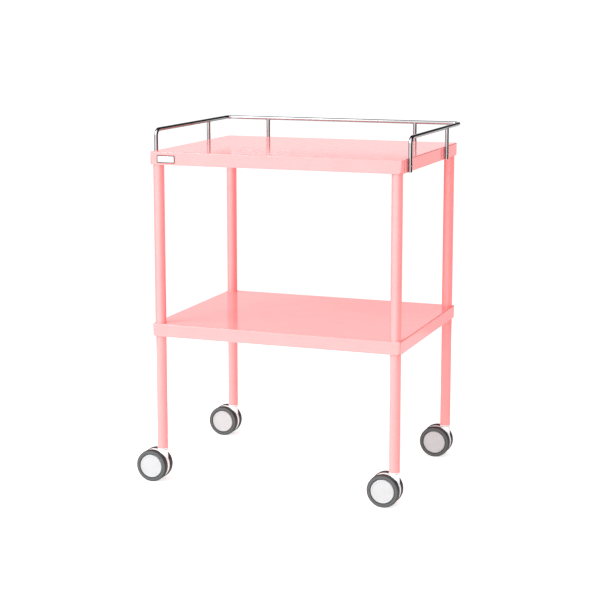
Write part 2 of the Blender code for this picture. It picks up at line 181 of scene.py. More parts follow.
# ---- how shapes are divided and shaded ----------------------------------------------------------
LARGE_ROUND = 96
MIDDLE_ROUND = 64
SMALL_ROUND = 48
ROD_ROUND = 40
HOLE_ROUND = 32
CORNER_STEPS = 6
SHARP_ANGLE = math.radians(35)
FULL_TURN = 2 * math.pi


# ---- mesh tools ----------------------------------------------------------------------------------
def link_object(name, data):
    made = bpy.data.objects.new(name, data)
    bpy.context.scene.collection.objects.link(made)
    return made


def mesh_of(name, bm):
    """The mesh in metres of a bmesh in millimetres, with its faces pointing out."""
    bmesh.ops.recalc_face_normals(bm, faces=bm.faces)
    bmesh.ops.scale(bm, vec=(MM, MM, MM), verts=bm.verts)
    data = bpy.data.meshes.new(name)
    bm.to_mesh(data)
    bm.free()
    return data


def shade(data):
    data.shade_smooth()
    data.set_sharp_from_angle(angle=SHARP_ANGLE)


def add_mesh_object(name, data, finish, body, replaced=(), place=None):
    """Makes a piece of a mesh, with its finish, its body and the nodes that it stands for."""
    made = link_object(name, data)
    if not data.materials:
        for each in finish if isinstance(finish, list) else [finish]:
            data.materials.append(each)
    shade(data)
    if place is not None:
        made.matrix_world = place
    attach(made, body)
    if replaced:
        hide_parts(*replaced)
    return made


def add_object(name, bm, finish, body, replaced=(), place=None):
    """The same, from a bmesh in millimetres."""
    return add_mesh_object(name, mesh_of(name, bm), finish, body, replaced, place)


def loft(bm, rings, closed=False, capped=True):
    """Joins rings of equal length with quads.

    A closed loft joins the last ring to the first, and an open one fills both ends if it is capped.
    """
    made = [[bm.verts.new(point) for point in ring] for ring in rings]
    pairs = list(zip(made, made[1:]))
    if closed:
        pairs.append((made[-1], made[0]))
    for lower, upper in pairs:
        count = len(lower)
        for i in range(count):
            j = (i + 1) % count
            bm.faces.new((lower[i], lower[j], upper[j], upper[i]))
    if capped and not closed:
        bm.faces.new(made[0])
        bm.faces.new(made[-1])
    return made


def circle(radius, height, segments):
    step = FULL_TURN / segments
    return [(radius * math.cos(i * step), radius * math.sin(i * step), height) for i in range(segments)]


def softened(corners, closed=False, steps=4):
    """The outline through (x, y, radius) corners.

    Each corner is rounded by a curve that leaves both sides where an arc of its radius would, or just
    short of the sides' middles where that is nearer.
    """
    most = 0.49
    points = []
    count = len(corners)
    for i, (x, y, radius) in enumerate(corners):
        here = Vector((x, y))
        at_end = not closed and i in (0, count - 1)
        if radius == 0 or at_end:
            points.append((x, y))
            continue
        before = Vector(corners[i - 1][:2]) - here
        after = Vector(corners[(i + 1) % count][:2]) - here
        half = before.angle(after) / 2
        reach = min(radius / math.tan(half), before.length * most, after.length * most)
        start = here + before.normalized() * reach
        finish = here + after.normalized() * reach
        for k in range(steps + 1):
            share = k / steps
            blend = start.lerp(here, share).lerp(here.lerp(finish, share), share)
            points.append((blend.x, blend.y))
    return points


def turned(profile, segments):
    """Turns (radius, height) points about Z. A profile that starts and ends at radius 0 is a solid."""
    bm = bmesh.new()
    solid = profile[0][0] == 0
    ring_points = profile[1:-1] if solid else profile
    rings = [circle(r, h, segments) for r, h in ring_points]
    made = loft(bm, rings, closed=not solid, capped=False)
    if solid:
        for ring, (_, height) in ((made[0], profile[0]), (made[-1], profile[-1])):
            tip = bm.verts.new((0, 0, height))
            for i in range(segments):
                bm.faces.new((ring[i], ring[(i + 1) % segments], tip))
    return bm


def cylinder(radius, low, high, segments):
    return turned([(0, low), (radius, low), (radius, high), (0, high)], segments)


def swept(path, radius_at, sides, closed=False):
    """A round rod along a path of points; radius_at gives its radius at each point's number."""
    rings = []
    side = None
    count = len(path)
    for i, point in enumerate(path):
        ahead = path[(i + 1) % count] if closed else path[min(i + 1, count - 1)]
        behind = path[i - 1] if closed else path[max(i - 1, 0)]
        along = (ahead - behind).normalized()
        if side is None:
            side = along.orthogonal().normalized()
        side = (side - along * side.dot(along)).normalized()
        other = along.cross(side)
        ring = []
        for k in range(sides):
            angle = FULL_TURN * k / sides
            ring.append(point + (side * math.cos(angle) + other * math.sin(angle)) * radius_at(i))
        rings.append(ring)
    bm = bmesh.new()
    loft(bm, rings, closed=closed)
    return bm


QUARTERS = ((1, 1), (-1, 1), (-1, -1), (1, -1))


def corner_arcs(half_x, half_y, radius, steps):
    """The four rounded corners of a rectangle about (0, 0) in the order of QUARTERS, as lists of (x, y)."""
    arcs = []
    for quarter, (sx, sy) in enumerate(QUARTERS):
        arc = []
        for i in range(steps + 1):
            angle = math.radians(90) * (quarter + i / steps)
            x = sx * (half_x - radius) + radius * math.cos(angle)
            y = sy * (half_y - radius) + radius * math.sin(angle)
            arc.append((x, y))
        arcs.append(arc)
    return arcs


def combine(piece, operation, tool_bm):
    """Takes the tool's shape from the piece with DIFFERENCE, or adds it with UNION, for good."""
    tool = link_object("tool", mesh_of("tool", tool_bm))
    step = piece.modifiers.new("tool", "BOOLEAN")
    step.object = tool
    step.operation = operation
    graph = bpy.context.evaluated_depsgraph_get()
    result = bpy.data.meshes.new_from_object(piece.evaluated_get(graph), depsgraph=graph)
    piece.modifiers.clear()
    piece.data = result
    bpy.data.objects.remove(tool)
    shade(result)


def cut(piece, tool_bm):
    combine(piece, "DIFFERENCE", tool_bm)


def moved(bm, matrix):
    bmesh.ops.transform(bm, matrix=matrix, verts=bm.verts[:])
    return bm


def joined(parts):
    """One bmesh from several."""
    whole = bmesh.new()
    for part in parts:
        data = bpy.data.meshes.new("part")
        part.to_mesh(data)
        part.free()
        whole.from_mesh(data)
        bpy.data.meshes.remove(data)
    return whole


# ---- materials -----------------------------------------------------------------------------------
class Finish:
    """A Principled shader, with noises in millimetres that vary its colour, gloss and height."""

    def __init__(self, name, colour, roughness, metallic=0.0):
        self.material = bpy.data.materials.new(name)
        self.material.use_nodes = True
        self.tree = self.material.node_tree
        self.shader = self.tree.nodes["Principled BSDF"]
        self.colour = colour
        self.shader.inputs["Base Color"].default_value = (*colour, 1.0)
        self.shader.inputs["Roughness"].default_value = roughness
        self.shader.inputs["Metallic"].default_value = metallic
        self.place = self.tree.nodes.new("ShaderNodeTexCoord").outputs["Object"]

    def link(self, output, target):
        self.tree.links.new(output, target)

    def noise(self, size, detail=3.0):
        """A noise whose patches are about size millimetres across."""
        scale = self.tree.nodes.new("ShaderNodeMapping")
        scale.inputs["Scale"].default_value = [1 / (size * MM)] * 3
        self.link(self.place, scale.inputs["Vector"])
        made = self.tree.nodes.new("ShaderNodeTexNoise")
        made.inputs["Scale"].default_value = 1.0
        made.inputs["Detail"].default_value = detail
        self.link(scale.outputs["Vector"], made.inputs["Vector"])
        return made.outputs["Fac"]

    def between(self, source, low, high, start=0.3, end=0.7):
        """Low where the source is at start or less, high where it is at end or more, and blended between."""
        made = self.tree.nodes.new("ShaderNodeMapRange")
        made.inputs["From Min"].default_value = start
        made.inputs["From Max"].default_value = end
        made.inputs["To Min"].default_value = low
        made.inputs["To Max"].default_value = high
        self.link(source, made.inputs["Value"])
        return made.outputs["Result"]

    def from_axis(self):
        """The distance from the piece's own Z axis, in millimetres."""
        flat = self.tree.nodes.new("ShaderNodeVectorMath")
        flat.operation = "MULTIPLY"
        self.link(self.place, flat.inputs[0])
        flat.inputs[1].default_value = (1 / MM, 1 / MM, 0)
        length = self.tree.nodes.new("ShaderNodeVectorMath")
        length.operation = "LENGTH"
        self.link(flat.outputs["Vector"], length.inputs[0])
        return length.outputs["Value"]

    def tint(self, source, other, share=1.0, start=0.3, end=0.7):
        """Mixes the colour so far with up to a share of another, as the source goes from start to end."""
        mix = self.tree.nodes.new("ShaderNodeMix")
        mix.data_type = "RGBA"
        base = self.shader.inputs["Base Color"]
        if base.is_linked:
            self.link(base.links[0].from_socket, mix.inputs["A"])
        else:
            mix.inputs["A"].default_value = (*self.colour, 1.0)
        mix.inputs["B"].default_value = (*other, 1.0)
        self.link(self.between(source, 0.0, share, start, end), mix.inputs["Factor"])
        self.link(mix.outputs["Result"], base)

    def gloss(self, source, low, high):
        """Lets the roughness follow the source, from low to high."""
        self.link(self.between(source, low, high), self.shader.inputs["Roughness"])

    def bump(self, source, height):
        """Adds a height, in millimetres, on top of what is there."""
        made = self.tree.nodes.new("ShaderNodeBump")
        made.inputs["Distance"].default_value = height * MM
        self.link(source, made.inputs["Height"])
        normal = self.shader.inputs["Normal"]
        if normal.is_linked:
            self.link(normal.links[0].from_socket, made.inputs["Normal"])
        self.link(made.outputs["Normal"], normal)


def scaled(colour, share):
    return tuple(min(1.0, channel * share) for channel in colour)


def pink_paint():
    """Glossy powder coat: a slight orange peel and faint cloudiness in colour and gloss."""
    colour = (0.93, 0.265, 0.262)
    made = Finish("pink_paint", colour, 0.12)
    made.tint(made.noise(60, 2), (0.90, 0.24, 0.24), 0.8)
    made.tint(made.noise(4, 3), (0.88, 0.21, 0.21), 0.35)
    made.gloss(made.noise(25), 0.08, 0.15)
    made.bump(made.noise(3.0, 2), 0.0055)
    made.bump(made.noise(0.9, 1), 0.0006)
    return made.material


def chrome():
    """Bright plate over drawn rod: a faint haze and fine wipe marks."""
    made = Finish("chrome", (0.40, 0.405, 0.415), 0.06, 1.0)
    made.tint(made.noise(18), (0.33, 0.335, 0.345), 0.6)
    made.gloss(made.noise(6), 0.035, 0.10)
    made.bump(made.noise(0.5, 2), 0.0005)
    return made.material


def zinc_steel():
    made = Finish("zinc_steel", (0.50, 0.50, 0.51), 0.33, 1.0)
    made.tint(made.noise(2.5), (0.38, 0.38, 0.40), 0.8)
    made.gloss(made.noise(1.2), 0.25, 0.45)
    made.bump(made.noise(0.3, 2), 0.003)
    return made.material


def white_plastic():
    """Moulded nylon: a fine spark-eroded grain."""
    colour = (0.80, 0.80, 0.81)
    made = Finish("white_plastic", colour, 0.42)
    made.tint(made.noise(14), (0.74, 0.74, 0.75), 0.7)
    made.gloss(made.noise(5), 0.36, 0.50)
    made.bump(made.noise(0.35, 2), 0.006)
    return made.material


def cap_plastic():
    colour = (0.385, 0.39, 0.395)
    made = Finish("cap_plastic", colour, 0.38)
    made.tint(made.noise(9), scaled(colour, 0.93), 0.8)
    made.gloss(made.noise(4), 0.32, 0.46)
    made.bump(made.noise(0.4, 2), 0.005)
    return made.material


def tyre_rubber():
    """Soft grey tread: matt, with a fine skin, lighter scuffs and painted shade darkening it towards its
    rim.
    """
    colour = (0.058, 0.061, 0.062)
    made = Finish("tyre_rubber", colour, 0.62)
    made.tint(made.noise(7), scaled(colour, 1.25), 0.7)
    made.tint(made.noise(0.9), scaled(colour, 0.8), 0.5)
    # Painted shade: the colour darkens towards the tread's rim and stands in for the shade round the wheel's
    # edge.
    made.tint(made.from_axis(), scaled(colour, 0.35), start=WHEEL_RADIUS - 3.2, end=WHEEL_RADIUS - 0.8)
    made.gloss(made.noise(3), 0.52, 0.72)
    made.bump(made.noise(0.5, 3), 0.015)
    return made.material


def plate_face():
    made = Finish("plate_face", (0.60, 0.60, 0.60), 0.35)
    made.tint(made.noise(5), (0.56, 0.56, 0.555), 0.6)
    made.gloss(made.noise(3), 0.28, 0.42)
    made.bump(made.noise(0.5, 1), 0.003)
    return made.material


# Painted shade: the near-black colour of the plate's raised border stands in for the shadow and dark outline
# along the plate's edge.
def plate_edge_shade():
    made = Finish("plate_edge_shade", (0.035, 0.035, 0.038), 0.4)
    made.tint(made.noise(2), (0.06, 0.06, 0.06), 0.8)
    made.gloss(made.noise(2), 0.32, 0.48)
    return made.material


PINK = pink_paint()
CHROME = chrome()
STEEL = zinc_steel()
WHITE = white_plastic()
CAP = cap_plastic()
RUBBER = tyre_rubber()
PLATE = plate_face()
PLATE_EDGE_SHADE = plate_edge_shade()


# ---- trays ---------------------------------------------------------------------------------------
def tray_outline(inset):
    """Points (x, y) round the tray's edge: arcs at the corners, and a point at each end of a corner cut."""
    half_x = TRAY_SIZE.x / 2
    half_y = TRAY_SIZE.y / 2
    radius = max(TRAY_CORNER - inset, TRAY_CORNER_LEAST)
    arcs = corner_arcs(half_x - inset, half_y - inset, radius, CORNER_STEPS)
    points = []
    for (sx, sy), arc in zip(QUARTERS, arcs):
        before = (sx * (half_x - inset), sy * (half_y - CORNER_CUT))
        after = (sx * (half_x - CORNER_CUT), sy * (half_y - inset))
        if sx != sy:
            before, after = after, before
        points += [before] + arc + [after]
    return points


def apron_bottom(x, y, bottom):
    """The apron's lower edge rises over each corner, where its tip is cut off."""
    from_corner = (TRAY_SIZE.x / 2 - abs(x)) + (TRAY_SIZE.y / 2 - abs(y))
    return bottom + CORNER_CUT_HEIGHT * max(0.0, 1 - from_corner / CORNER_CUT)


def tray_bm(top):
    """A folded tray: outer skin in from the top, round the bend, down the apron and back up inside."""
    bottom = top - (UPPER_TOP - APRON_BOTTOM)
    rings = []

    def add(inset, height, on_edge=False):
        ring = []
        for x, y in tray_outline(inset):
            z = apron_bottom(x, y, bottom) + height if on_edge else height
            ring.append((x + TRAY_MIDDLE.x, y + TRAY_MIDDLE.y, z))
        rings.append(ring)

    def add_bend(radius, sheet_inset, downward):
        order = range(CORNER_STEPS + 1) if downward else range(CORNER_STEPS, -1, -1)
        for i in order:
            angle = math.radians(90) * i / CORNER_STEPS
            run = radius * (1 - math.sin(angle))
            drop = radius * (1 - math.cos(angle))
            add(sheet_inset + run, top - sheet_inset - drop)

    add(EDGE_BEND + BEND_SUPPORT, top)
    add_bend(EDGE_BEND, 0.0, True)
    add(0.0, top - EDGE_BEND - BEND_SUPPORT)
    add(0.0, LIP, True)
    add(LIP, 0.0, True)
    add(SHEET - LIP, 0.0, True)
    add(SHEET, LIP, True)
    add(SHEET, top - EDGE_BEND - BEND_SUPPORT)
    add_bend(EDGE_BEND - SHEET, SHEET, False)
    add(EDGE_BEND + BEND_SUPPORT, top - SHEET)
    bm = bmesh.new()
    loft(bm, rings)
    return bm


def leg_holes(top):
    """Round holes for the four legs, through the sheet whose upper face is at top."""
    reach = 4
    radius = TUBE_RADIUS + HOLE_CLEARANCE
    parts = []
    for corner in CORNERS:
        place = leg_place(corner)
        tool = cylinder(radius, top - reach, top + reach, MIDDLE_ROUND)
        parts.append(moved(tool, Matrix.Translation((place.x, place.y, 0))))
    return joined(parts)


def screw_holes():
    """Round holes for the six screws, through the upper tray's aprons behind the rods."""
    inner_end = -ROD_RADIUS - 3
    outer_end = -ROD_RADIUS + 1
    parts = []
    for end in rail_ends():
        tool = cylinder(SCREW_HOLE_RADIUS, inner_end, outer_end, HOLE_ROUND)
        parts.append(moved(tool, outward_frame(end)))
    return joined(parts)


def build_trays():
    upper = add_object("upper_tray_sheet", tray_bm(UPPER_TOP), PINK, "frame", ["upper_tray"])
    cut(upper, screw_holes())
    lower = add_object("lower_tray_sheet", tray_bm(LOWER_TOP), PINK, "frame", ["lower_tray"])
    cut(lower, leg_holes(LOWER_TOP))


# ---- legs ----------------------------------------------------------------------------------------
def leg_bm():
    """A round tube with softened ends, and an edge loop near each end that keeps its shading even."""
    bore = TUBE_RADIUS - TUBE_WALL
    loop = 3
    corners = [
        (TUBE_RADIUS, LEG_BOTTOM, TUBE_END_ROUND),
        (TUBE_RADIUS, LEG_BOTTOM + loop, 0),
        (TUBE_RADIUS, LEG_TOP - loop, 0),
        (TUBE_RADIUS, LEG_TOP, TUBE_END_ROUND),
        (bore, LEG_TOP, TUBE_END_ROUND),
        (bore, LEG_BOTTOM, TUBE_END_ROUND),
    ]
    return turned(softened(corners, closed=True, steps=3), MIDDLE_ROUND)


def build_legs():
    tube = mesh_of("leg_tube", leg_bm())
    for corner in CORNERS:
        name = "leg_tube_" + corner
        add_mesh_object(name, tube, PINK, "frame", ["leg_" + corner], leg_axis(corner))


def weld_bead(path, thick, ripple, sides):
    """A bead along a closed path, whose thickness ripples by a share of itself."""
    wave = FULL_TURN / WELD_RIPPLE_POINTS
    return swept(path, lambda i: thick * (1 + ripple * math.sin(wave * i)), sides, closed=True)


def leg_weld(corner, height, thick):
    """A painted fillet weld round a leg."""
    centre = leg_place(corner)
    radius = TUBE_RADIUS + LEG_WELD_OFF_TUBE
    count = LEG_WELD_RIPPLES * WELD_RIPPLE_POINTS
    path = [Vector((centre.x + x, centre.y + y, z)) for x, y, z in circle(radius, height, count)]
    return weld_bead(path, thick, ripple=0.10, sides=10)


def build_leg_welds():
    welds = {
        "lower_weld_top_": (LOWER_TOP + LEG_WELD_OFF_SHEET, LEG_WELD_THIN),
        "lower_weld_underside_": (LOWER_TOP - SHEET - LEG_WELD_OFF_SHEET, LEG_WELD_THICK),
        "upper_weld_": (UPPER_TOP - SHEET - LEG_WELD_BELOW_UPPER_SHEET, LEG_WELD_THICK),
    }
    for corner in CORNERS:
        for name, (height, thick) in welds.items():
            add_object(name + corner, leg_weld(corner, height, thick), PINK, "frame")


# ---- guard rail ----------------------------------------------------------------------------------
def rail_ends():
    """Where each rod end stands and which way is outward: the two bent ends, then the four posts."""
    left, right, back = Vector((-1, 0, 0)), Vector((1, 0, 0)), Vector((0, 1, 0))
    back_left = middle_mm("guard_post_back_left")
    back_right = middle_mm("guard_post_back_right")
    side_y = middle_mm("guard_post_left").y
    return {
        "left_front": (Vector((RAIL_LEFT_X, RAIL_FRONT_Y, 0)), left),
        "right_front": (Vector((RAIL_RIGHT_X, RAIL_FRONT_Y, 0)), right),
        "left": (Vector((RAIL_LEFT_X, side_y, 0)), left),
        "right": (Vector((RAIL_RIGHT_X, side_y, 0)), right),
        "back_left": (Vector((back_left.x, RAIL_BACK_Y, 0)), back),
        "back_right": (Vector((back_right.x, RAIL_BACK_Y, 0)), back),
    }


def outward_frame(end):
    """Maps local +Z onto the outward direction at the screw's height."""
    place, outward = rail_ends()[end]
    turn = Vector((0, 0, 1)).rotation_difference(outward).to_matrix().to_4x4()
    return Matrix.Translation((place.x, place.y, SCREW_HEIGHT)) @ turn


def rod_drill(end):
    """A screw's hole through a rod, with the flat-bottomed recess for its head."""
    face = ROD_RADIUS - SPOT_FACE_DEPTH
    spot = SCREW_HEAD_RADIUS + HOLE_CLEARANCE
    far = 2 * ROD_RADIUS
    hole = SCREW_HOLE_RADIUS
    profile = [(0, -far), (hole, -far), (hole, face), (spot, face), (spot, far), (0, far)]
    return moved(turned(profile, ROD_ROUND), outward_frame(end))


def bend_points(corner, before, after):
    """The rail's bend at a corner, from the direction before it to the one after it."""
    centre = corner - before * RAIL_BEND + after * RAIL_BEND
    steps = 14
    points = []
    for i in range(steps + 1):
        angle = math.radians(90) * i / steps
        points.append(centre + before * RAIL_BEND * math.sin(angle) - after * RAIL_BEND * math.cos(angle))
    return points


def rod(path):
    """A rod along a path, with a short chamfer at either end."""
    first = (path[1] - path[0]).normalized() * ROD_CHAMFER
    last = (path[-2] - path[-1]).normalized() * ROD_CHAMFER
    path = [path[0], path[0] + first] + path[1:-1] + [path[-1] + last, path[-1]]
    ends = (0, len(path) - 1)
    return swept(path, lambda i: ROD_RADIUS - (ROD_CHAMFER if i in ends else 0.0), ROD_ROUND)


def rail_path():
    up, back, right = Vector((0, 0, 1)), Vector((0, 1, 0)), Vector((1, 0, 0))
    left_front = Vector((RAIL_LEFT_X, RAIL_FRONT_Y, RAIL_HEIGHT))
    left_back = Vector((RAIL_LEFT_X, RAIL_BACK_Y, RAIL_HEIGHT))
    right_back = Vector((RAIL_RIGHT_X, RAIL_BACK_Y, RAIL_HEIGHT))
    right_front = Vector((RAIL_RIGHT_X, RAIL_FRONT_Y, RAIL_HEIGHT))
    path = [Vector((left_front.x, left_front.y, APRON_BOTTOM))]
    path += bend_points(left_front, up, back)
    path += bend_points(left_back, back, right)
    path += bend_points(right_back, right, -back)
    path += bend_points(right_front, -back, -up)
    path.append(Vector((right_front.x, right_front.y, APRON_BOTTOM)))
    return path


def post_weld(end):
    """The brazed bead where a post meets the rail's underside: it follows the crossing of the two rods."""
    place, outward = rail_ends()[end]
    along = Vector((-outward.y, outward.x, 0))
    count = POST_WELD_RIPPLES * WELD_RIPPLE_POINTS
    reach_across = ROD_RADIUS * 0.97
    reach_along = ROD_RADIUS * 1.05
    path = []
    for i in range(count):
        angle = FULL_TURN * i / count
        across = reach_across * math.sin(angle)
        drop = math.sqrt(ROD_RADIUS ** 2 - across ** 2)
        flat = place + along * reach_along * math.cos(angle) + outward * across
        path.append(Vector((flat.x, flat.y, RAIL_HEIGHT - drop)))
    return weld_bead(path, POST_WELD_THICK, ripple=0.08, sides=8)


def build_guard_rail():
    rail = add_object("rail_rod", rod(rail_path()), CHROME, "frame", ["guard_rail"])
    cut(rail, joined([rod_drill("left_front"), rod_drill("right_front")]))
    for end in ("left", "right", "back_left", "back_right"):
        place = rail_ends()[end][0]
        foot = Vector((place.x, place.y, APRON_BOTTOM))
        head = Vector((place.x, place.y, RAIL_HEIGHT - POST_END_BELOW_AXIS))
        node = "guard_post_" + end
        post = add_object("rail_post_" + end, rod([foot, head]), CHROME, "frame", [node])
        cut(post, rod_drill(end))
        add_object("rail_weld_" + end, post_weld(end), CHROME, "frame")


# ---- rail screws ---------------------------------------------------------------------------------
def hexagon_ring(across_flats, height):
    """A ring of points on a hexagon."""
    points = []
    for i in range(SMALL_ROUND):
        angle = FULL_TURN * i / SMALL_ROUND
        off_flat = (angle + math.pi / 6) % (math.pi / 3) - math.pi / 6
        reach = across_flats / 2 / math.cos(off_flat)
        points.append((reach * math.cos(angle), reach * math.sin(angle), height))
    return points


def head_rings(face):
    """The screw head's rim and dome, down to the round mouth of its socket."""
    rim = 0.15
    mouth = 1.55
    steps = 8
    low_degrees, high_degrees = 15, 77
    low_angle = math.radians(low_degrees)
    foot = math.sin(low_angle)
    crown = math.sin(math.radians(high_degrees))
    rings = []
    for i in range(steps + 1):
        angle = math.radians(low_degrees + (high_degrees - low_degrees) * i / steps)
        reach = SCREW_HEAD_RADIUS * math.cos(angle) / math.cos(low_angle)
        rise = (math.sin(angle) - foot) / (crown - foot)
        rings.append(circle(max(reach, mouth), face + rim + (SCREW_HEAD_HEIGHT - rim) * rise, SMALL_ROUND))
    return rings


def screw_bm():
    """A button-head screw with a hexagon socket, through rod and apron; its threads are plain rings."""
    face = ROD_RADIUS - SPOT_FACE_DEPTH + HOLE_CLEARANCE
    top = face + SCREW_HEAD_HEIGHT
    tip = -ROD_RADIUS - SHEET - NUT_HEIGHT - SCREW_PAST_NUT
    chamfer = 0.35
    head_chamfer = 0.1
    key_lip = 0.05
    rings = [
        circle(SCREW_RADIUS - chamfer, tip, SMALL_ROUND),
        circle(SCREW_RADIUS, tip + chamfer, SMALL_ROUND),
    ]
    for i in range(THREADS):
        crest = tip + chamfer + THREAD_PITCH * i
        rings.append(circle(SCREW_RADIUS - THREAD_DEPTH, crest + THREAD_PITCH / 2, SMALL_ROUND))
        rings.append(circle(SCREW_RADIUS, crest + THREAD_PITCH, SMALL_ROUND))
    rings.append(circle(SCREW_RADIUS, face, SMALL_ROUND))
    rings.append(circle(SCREW_HEAD_RADIUS - head_chamfer, face, SMALL_ROUND))
    rings += head_rings(face)
    rings.append(hexagon_ring(KEY_ACROSS_FLATS, top - key_lip))
    rings.append(hexagon_ring(KEY_ACROSS_FLATS, top - KEY_DEPTH))
    bm = bmesh.new()
    loft(bm, rings)
    return bm


def nut_bm():
    """A chamfered hexagon nut behind the apron."""
    face = -ROD_RADIUS - HOLE_CLEARANCE - SHEET
    back = face - NUT_HEIGHT
    washer_face = NUT_ACROSS_FLATS / 2 * 0.97
    corner_chamfer = 0.5
    hole_chamfer = 0.3
    rings = [
        circle(SCREW_RADIUS, face, SMALL_ROUND),
        circle(washer_face, face, SMALL_ROUND),
        hexagon_ring(NUT_ACROSS_FLATS, face - corner_chamfer),
        hexagon_ring(NUT_ACROSS_FLATS, back + corner_chamfer),
        circle(washer_face, back, SMALL_ROUND),
        circle(SCREW_RADIUS + hole_chamfer, back, SMALL_ROUND),
        circle(SCREW_RADIUS, back + hole_chamfer, SMALL_ROUND),
    ]
    bm = bmesh.new()
    loft(bm, rings, closed=True)
    return bm


def build_screws():
    for end in rail_ends():
        at = outward_frame(end)
        node = "guard_rail_screw_" + end
        add_object("rail_screw_" + end, moved(screw_bm(), at), STEEL, "frame", [node])
        add_object("rail_nut_" + end, moved(nut_bm(), at), STEEL, "frame")


# ---- name plate ----------------------------------------------------------------------------------
def plate_ring(inset, depth):
    """A rounded rectangle on the plate, inset from its edge, at a depth from the apron outwards."""
    low, high = box_mm("name_plate")
    centre = (low + high) / 2
    half = (high - low) / 2
    radius = max(PLATE_CORNER - inset, PLATE_CORNER_LEAST)
    arcs = corner_arcs(half.x - inset, half.z - inset, radius, steps=8)
    return [(centre.x + x, high.y - depth, centre.z + z) for arc in arcs for x, z in arc]


def build_name_plate():
    """A blank plate: a thin raised border round a white face, the border coloured dark as painted shade
    along the plate's edge.
    """
    thick = size_mm("name_plate").y
    edge = 0.2
    middle = 0.06
    slope = 0.12
    margin = 0.9
    rings = [
        plate_ring(0.0, 0.0),
        plate_ring(0.0, thick - edge),
        plate_ring(middle, thick - middle),
        plate_ring(edge, thick),
        plate_ring(PLATE_BORDER, thick),
        plate_ring(PLATE_BORDER + slope, thick - PLATE_RECESS),
        plate_ring(PLATE_BORDER + margin, thick - PLATE_RECESS),
    ]
    bm = bmesh.new()
    loft(bm, rings)
    made = add_object("name_plate_blank", bm, [PLATE, PLATE_EDGE_SHADE], "frame", ["name_plate"])
    centre = middle_mm("name_plate")
    half = size_mm("name_plate") / 2
    # Faces on the border take the painted edge shade, and the rest take the plate's face colour.
    for face in made.data.polygons:
        x = abs(face.center.x / MM - centre.x)
        z = abs(face.center.z / MM - centre.z)
        on_shaded_edge = x > half.x - PLATE_BORDER or z > half.z - PLATE_BORDER
        face.material_index = 1 if on_shaded_edge else 0


# ---- casters -------------------------------------------------------------------------------------
def wheel_frame(corner, way):
    """Local +Z points out of the wheel's face, along Y the way it faces."""
    place = middle_mm("axle_" + corner)
    turn = Matrix.Rotation(-way * math.pi / 2, 4, "X")
    return Matrix.Translation((place.x * MM, place.y * MM, place.z * MM)) @ turn


def socket_bm():
    """The insert in the leg's lower end: a collar under the tube and a sleeve inside it."""
    low, high = box_mm("caster_socket_front_left")
    bore = SHANK_RADIUS + HOLE_CLEARANCE
    sleeve = TUBE_RADIUS - TUBE_WALL - SLEEVE_PLAY
    collar_top = LEG_BOTTOM - HOLE_CLEARANCE
    lead_in = 1.2
    corners = [
        (bore, low.z, 0.3),
        (TUBE_RADIUS, low.z, 0.5),
        (TUBE_RADIUS, collar_top, 0.4),
        (sleeve, collar_top, 0.2),
        (sleeve, high.z - 2, 0.8),
        (sleeve - lead_in, high.z, 0.3),
        (bore, high.z, 0.3),
    ]
    return turned(softened(corners, closed=True), MIDDLE_ROUND)


def stem_bm():
    """The stem that turns in the housing, the flange over the neck, and the shank held in the socket."""
    low, high = box_mm("caster_stem_front_left")
    flange = NECK_TOP + HOLE_CLEARANCE
    flange_top = flange + FLANGE_THICKNESS
    taper = 1.5
    corners = [
        (0, low.z, 0),
        (STEM_RADIUS, low.z, 0.4),
        (STEM_RADIUS, flange, 0.1),
        (FLANGE_RADIUS, flange, 0.2),
        (FLANGE_RADIUS, flange_top, 0.2),
        (SHANK_RADIUS, flange_top, 0.2),
        (SHANK_RADIUS, high.z - 2 * taper, 0.5),
        (SHANK_RADIUS - taper, high.z, 0.4),
        (0, high.z, 0),
    ]
    return turned(softened(corners), SMALL_ROUND)


def tyre_bm():
    """A soft tread: rounded shoulders, a fine parting line and a groove round the cap on its outer face."""
    inner = TYRE_INNER_FACE
    outer = inner + TYRE_WIDTH
    seat = HUB_RADIUS + HOLE_CLEARANCE
    middle = (inner + outer) / 2
    line = 0.35
    groove_floor = outer - 3.0
    corners = [
        (seat, inner, 0.3),
        (WHEEL_RADIUS, inner, 3.4),
        (WHEEL_RADIUS, middle - line, 0.1),
        (WHEEL_RADIUS + 0.1, middle, 0.1),
        (WHEEL_RADIUS, middle + line, 0.1),
        (WHEEL_RADIUS, outer - 0.5, 4.6),
        (seat + 3.8, outer - 0.1, 1.2),
        (seat + 2.2, outer, 0.5),
        (seat + 1.9, groove_floor + 0.2, 0.3),
        (seat, groove_floor, 0.2),
    ]
    return turned(softened(corners, closed=True, steps=6), LARGE_ROUND)


def hub_bm():
    """A plastic wheel: a rim and a boss, joined by a disc at its inner face."""
    bore = AXLE_RADIUS + AXLE_PLAY
    disc = HUB_INNER_FACE + 4
    corners = [
        (bore, HUB_INNER_FACE, 0.3),
        (HUB_RADIUS, HUB_INNER_FACE, 0.4),
        (HUB_RADIUS, HUB_OUTER_FACE, 0.3),
        (HUB_RADIUS - 3, HUB_OUTER_FACE, 0.3),
        (HUB_RADIUS - 4, disc, 0.8),
        (bore + 3.5, disc, 0.8),
        (bore + 3.0, HUB_OUTER_FACE, 0.3),
        (bore, HUB_OUTER_FACE, 0.3),
    ]
    return turned(softened(corners, closed=True), MIDDLE_ROUND)


